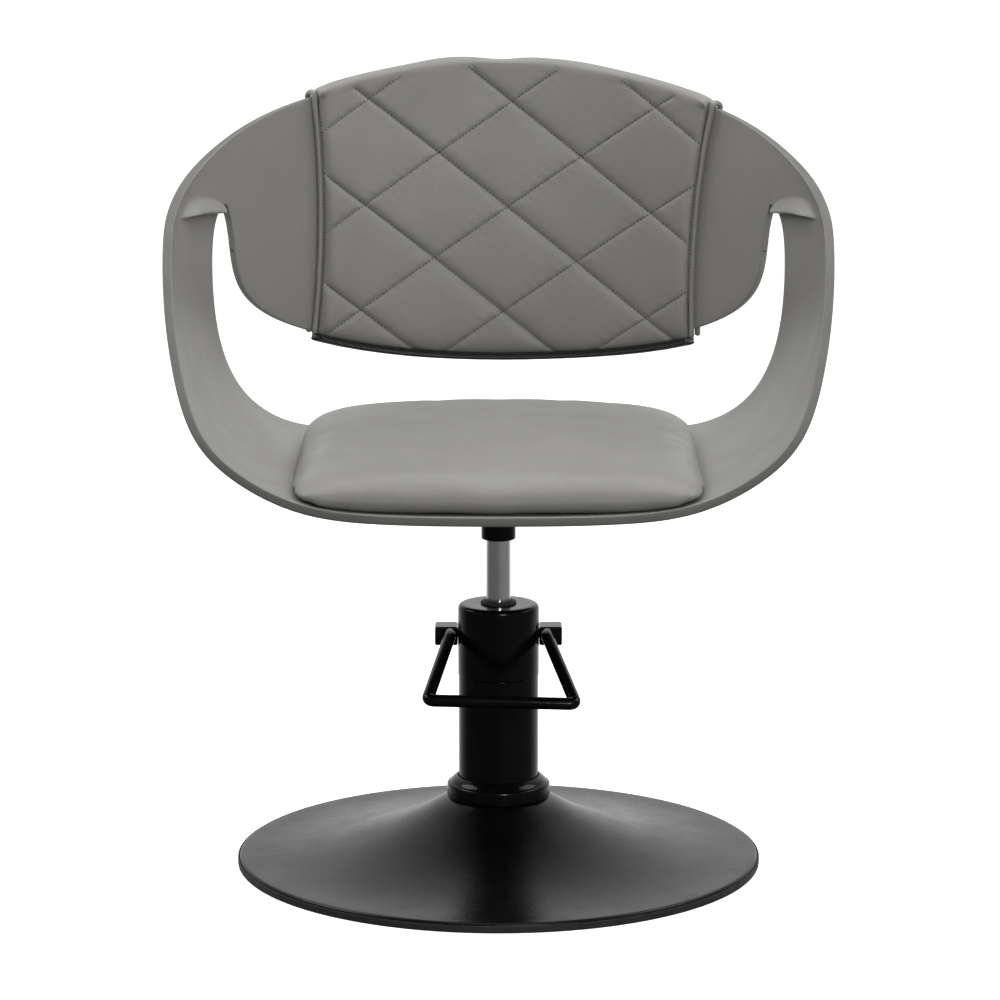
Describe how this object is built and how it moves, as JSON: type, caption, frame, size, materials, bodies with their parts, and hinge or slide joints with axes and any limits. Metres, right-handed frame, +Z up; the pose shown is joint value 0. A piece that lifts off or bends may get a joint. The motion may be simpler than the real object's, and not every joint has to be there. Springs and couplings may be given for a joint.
{
  "type": "styling chair",
  "caption": "Hydraulic styling chair: moulded loop shell with seat cushion and slip-on quilted back cover, on a foot-pumped swivel column and a round trumpet base.",
  "frame": {"origin": "centre of the base's underside on the floor, on the swivel axis", "axes": "+Z up the swivel axis, -Y the way the sitter faces, +X towards the sitter's left arm"},
  "size_m": [0.724, 0.58, 0.8717],
  "materials": {
    "shell": "moulded polyurethane, fine satin grain, warm grey",
    "vinyl": "grey upholstery vinyl with fine leather grain",
    "piping": "grey vinyl piping",
    "zip": "black woven zip tape",
    "foam": "open-cell seat foam",
    "plywood": "raw birch plywood",
    "gloss_black": "gloss black powder coat on steel",
    "disc_black": "satin black powder coat on spun steel",
    "ballast": "painted cast iron",
    "rubber": "matt black rubber",
    "chrome": "hard chrome, ground and polished",
    "steel": "machined steel",
    "bronze": "machined bearing bronze"
  },
  "bodies": {
    "base": {"ballast_plate": "ballast", "base_collar": "gloss_black", "base_disc": "disc_black", "base_rubber_ring": "rubber", "booster_barrel": "steel", "flange_bolt_1": "steel", "flange_bolt_2": "steel", "flange_bolt_3": "steel", "flange_bolt_4": "steel", "guide_bush": "bronze", "oil_cylinder": "steel", "pedal_return_spring": "steel", "pump_head": "gloss_black", "pump_tube": "gloss_black", "wiper_seal": "rubber"},
    "lift": {"piston_head": "steel", "piston_seal": "rubber", "thrust_washer": "bronze"},
    "seat": {"ram_rod": "chrome", "taper_socket": "gloss_black", "mounting_plate": "gloss_black", "seat_shell": "shell", "seat_board": "plywood", "seat_foam": "foam", "seat_cover": "vinyl", "back_quilted_panel": "vinyl", "back_rear_panel": "vinyl", "piping_left": "piping", "piping_right": "piping", "zip_tape": "zip", "seat_bolt_1": "steel", "seat_bolt_2": "steel", "seat_bolt_3": "steel", "seat_bolt_4": "steel", "threaded_insert_1": "steel", "threaded_insert_2": "steel", "threaded_insert_3": "steel", "threaded_insert_4": "steel"},
    "pedal": {"pedal_bar": "gloss_black", "pedal_lug_left": "gloss_black", "pedal_lug_right": "gloss_black", "pedal_shaft": "steel", "pump_finger": "steel"},
    "plunger": {"booster_plunger": "steel"}
  },
  "joints": [
    {"name": "seat_lift", "type": "slide", "parent": "base", "child": "lift", "axis": [0, 0, 1], "range_m": [-0.06, 0.09]},
    {"name": "seat_swivel", "type": "hinge", "parent": "lift", "child": "seat", "pos_m": [0, 0, 0.15], "axis": [0, 0, 1], "continuous": true},
    {"name": "pedal_press", "type": "hinge", "parent": "base", "child": "pedal", "pos_m": [0, 0.0283, 0.2515], "axis": [1, 0, 0], "range_deg": [0, 25], "stiffness_Nm_per_rad": 4, "springref_deg": -34.38},
    {"name": "plunger_stroke", "type": "slide", "parent": "base", "child": "plunger", "axis": [0, 0, 1], "range_m": [0, 0.004]}
  ],
  "couplings": [
    {"joint": "plunger_stroke", "follows": "pedal_press", "m_per_rad": 0.0085}
  ]
}
